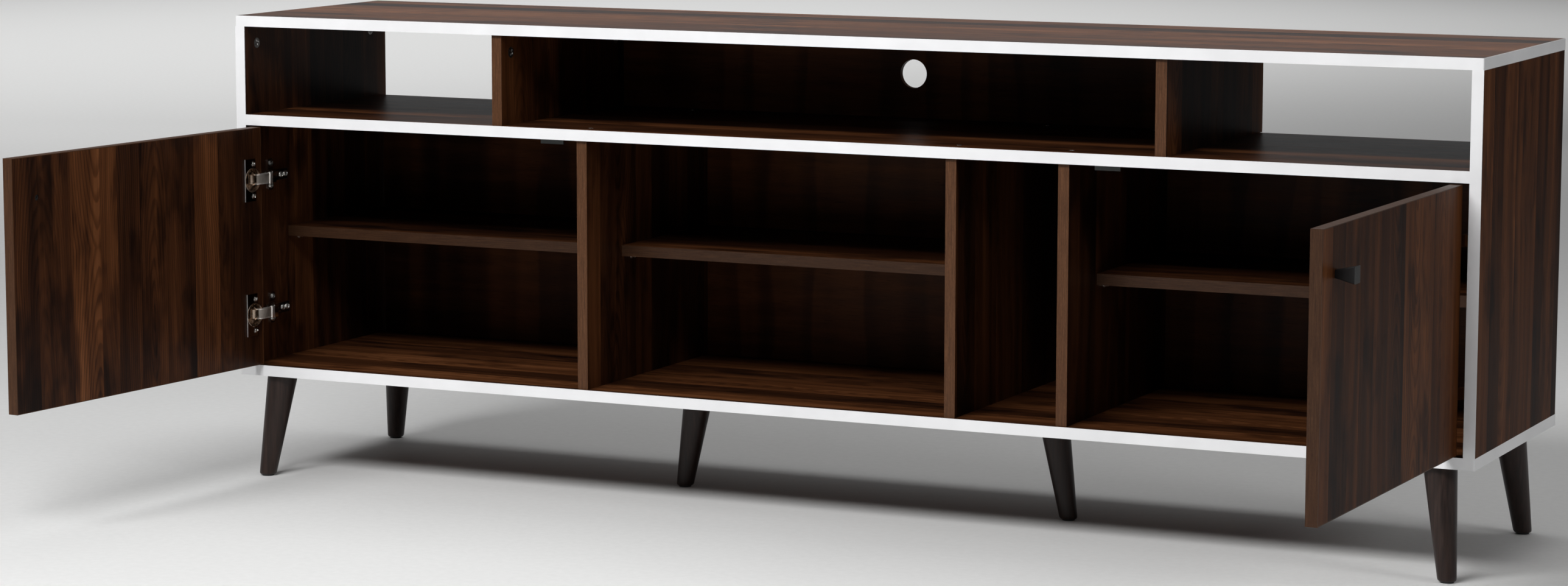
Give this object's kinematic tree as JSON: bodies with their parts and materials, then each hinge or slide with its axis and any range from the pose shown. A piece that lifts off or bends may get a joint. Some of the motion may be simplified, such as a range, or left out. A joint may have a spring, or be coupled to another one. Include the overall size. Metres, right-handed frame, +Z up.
{
  "type": "television cabinet",
  "caption": "Low walnut-grain television cabinet with open bays, hinged doors on concealed hinges, loose inner shelves and round tapered legs.",
  "frame": {"origin": "on the floor, under the middle of the cabinet's carcass (the doors stand open, so the whole box is not centred on it)", "axes": "+X to the viewer's right along the length, +Y to the back, +Z up; the front with the doors faces -Y"},
  "size_m": [1.843, 0.9058, 0.655],
  "materials": {
    "walnut_upright": "satin walnut-grain laminate on particle board, grain running up",
    "walnut_level": "satin walnut-grain laminate on particle board, grain running along the cabinet",
    "white_band": "smooth white plastic edge band",
    "walnut_band": "walnut-coloured plastic edge band",
    "back_board": "matt walnut-grain laminated thin board",
    "dark_leg_wood": "espresso-stained, satin-lacquered turned wood",
    "glide_plastic": "black plastic glide",
    "nickel_steel": "bright nickel-plated pressed steel",
    "zinc_steel": "zinc-plated steel",
    "black_knob": "matt black powder coat",
    "stop_plastic": "dark grey plastic",
    "beech_dowel": "unfinished beech"
  },
  "bodies": {
    "carcass": {"left_side_panel": "walnut_upright", "right_side_panel": "walnut_upright", "upper_divider_left": "walnut_upright", "upper_divider_right": "walnut_upright", "lower_divider_left": "walnut_upright", "lower_divider_centre": "walnut_upright", "lower_divider_right": "walnut_upright", "top_panel": "walnut_level", "bottom_panel": "walnut_level", "middle_shelf": "walnut_level", "inner_shelf_left": "walnut_level", "inner_shelf_centre": "walnut_level", "inner_shelf_right": "walnut_level", "top_panel_edging": "white_band", "bottom_panel_edging": "white_band", "left_side_edging": "white_band", "right_side_edging": "white_band", "middle_shelf_edging": "white_band", "divider_edging": "walnut_band", "inner_shelf_edging": "walnut_band", "upper_back_panel": "back_board", "lower_back_panel": "back_board", "leg_front_left": "dark_leg_wood", "leg_front_right": "dark_leg_wood", "leg_middle_left": "dark_leg_wood", "leg_middle_right": "dark_leg_wood", "leg_rear_left": "dark_leg_wood", "leg_rear_right": "dark_leg_wood", "leg_glides": "glide_plastic", "leg_insert_nuts": "zinc_steel", "leg_hanger_bolts": "zinc_steel", "hinge_arms": "nickel_steel", "hinge_mounting_plates": "nickel_steel", "hinge_plate_screws": "zinc_steel", "hinge_arm_screws": "zinc_steel", "door_stops": "stop_plastic", "door_stop_screws": "zinc_steel", "shelf_pins": "nickel_steel", "cam_locks": "zinc_steel", "cam_bolts": "zinc_steel", "dowels": "beech_dowel", "carcass_screws": "zinc_steel", "back_panel_screws": "zinc_steel"},
    "left_door": {"left_door": "walnut_upright", "left_door_edging": "walnut_band", "left_hinge_cups": "nickel_steel", "left_hinge_cup_screws": "zinc_steel", "left_knob": "black_knob", "left_knob_screw": "zinc_steel"},
    "right_door": {"right_door": "walnut_upright", "right_door_edging": "walnut_band", "right_hinge_cups": "nickel_steel", "right_hinge_cup_screws": "zinc_steel", "right_knob": "black_knob", "right_knob_screw": "zinc_steel"}
  },
  "joints": [
    {"name": "left_door_hinge", "type": "hinge", "parent": "carcass", "child": "left_door", "pos_m": [-0.881, -0.1925, 0.3305], "axis": [0, 0, -1], "range_deg": [-95, 10]},
    {"name": "right_door_hinge", "type": "hinge", "parent": "carcass", "child": "right_door", "pos_m": [0.881, -0.1925, 0.3305], "axis": [0, 0, 1], "range_deg": [-89, 16]}
  ]
}
